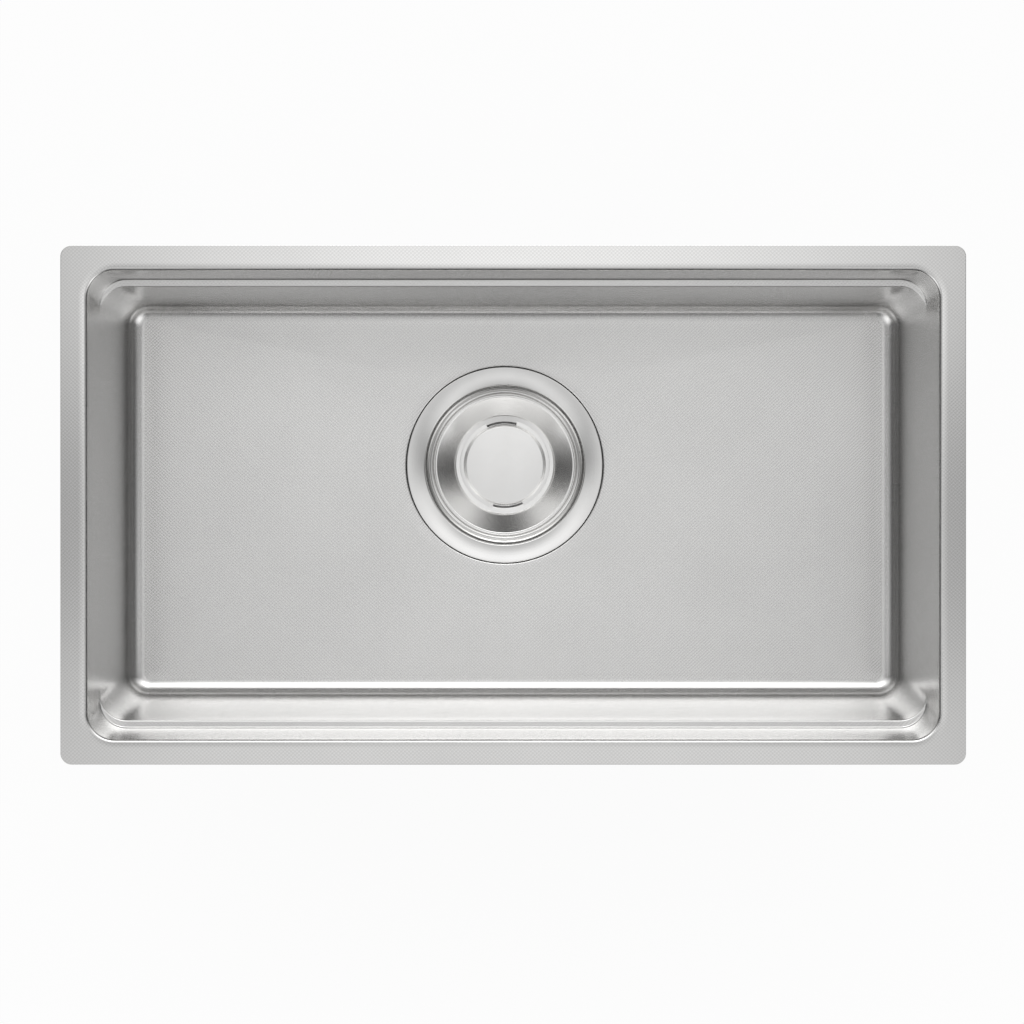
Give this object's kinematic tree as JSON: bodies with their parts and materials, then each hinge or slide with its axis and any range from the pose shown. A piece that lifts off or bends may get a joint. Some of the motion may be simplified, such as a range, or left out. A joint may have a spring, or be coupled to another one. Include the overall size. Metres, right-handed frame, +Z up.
{
  "type": "undermount kitchen sink",
  "caption": "Rectangular stainless steel undermount sink with accessory ledges, a large drain with funnel lid, lift-out strainer basket and a trap below.",
  "frame": {"origin": "centre of the rim's top face, which meets the worktop's underside", "axes": "+Z up out of the bowl, +X along the rim's length to the right, +Y to the back"},
  "size_m": [0.82, 0.47, 0.377],
  "materials": {
    "bowl_steel": "satin stainless steel with an embossed floor and rim",
    "polished_steel": "mirror polished stainless steel",
    "satin_steel": "fine satin stainless steel",
    "seal_rubber": "black rubber",
    "pad_rubber": "dark grey sound deadening rubber",
    "white_plastic": "moulded polypropylene, off-white",
    "grey_plastic": "moulded polypropylene, dark grey"
  },
  "bodies": {
    "sink": {"bowl": "bowl_steel", "drain_flange": "polished_steel", "flange_gasket": "seal_rubber", "drain_cup": "white_plastic", "floor_washer": "seal_rubber", "friction_ring": "white_plastic", "ring_nut": "grey_plastic", "standpipe": "white_plastic", "side_port": "white_plastic", "outlet_washer": "seal_rubber", "outlet_tail": "white_plastic", "outlet_nut": "grey_plastic", "side_port_washer": "seal_rubber", "side_port_cap": "grey_plastic", "pad_floor_left": "pad_rubber", "pad_floor_right": "pad_rubber", "pad_wall_back": "pad_rubber", "pad_wall_front": "pad_rubber", "pad_wall_left": "pad_rubber", "pad_wall_right": "pad_rubber"},
    "basket": {"basket": "satin_steel", "basket_handle": "satin_steel"},
    "lid": {"funnel_lid": "polished_steel"},
    "cap": {"centre_cap": "satin_steel"},
    "bell": {"trap_bell": "grey_plastic"}
  },
  "joints": [
    {"name": "basket_lift", "type": "slide", "parent": "sink", "child": "basket", "axis": [0, 0, 1], "range_m": [0, 0.3]},
    {"name": "lid_lift", "type": "slide", "parent": "basket", "child": "lid", "axis": [0, 0, 1], "range_m": [0, 0.25]},
    {"name": "cap_lift", "type": "slide", "parent": "lid", "child": "cap", "axis": [0, 0, 1], "range_m": [0, 0.25]},
    {"name": "bell_turn", "type": "hinge", "parent": "sink", "child": "bell", "pos_m": [-0.0085, 0.035, -0.285], "axis": [0, 0, 1], "range_deg": [0, 30]}
  ]
}
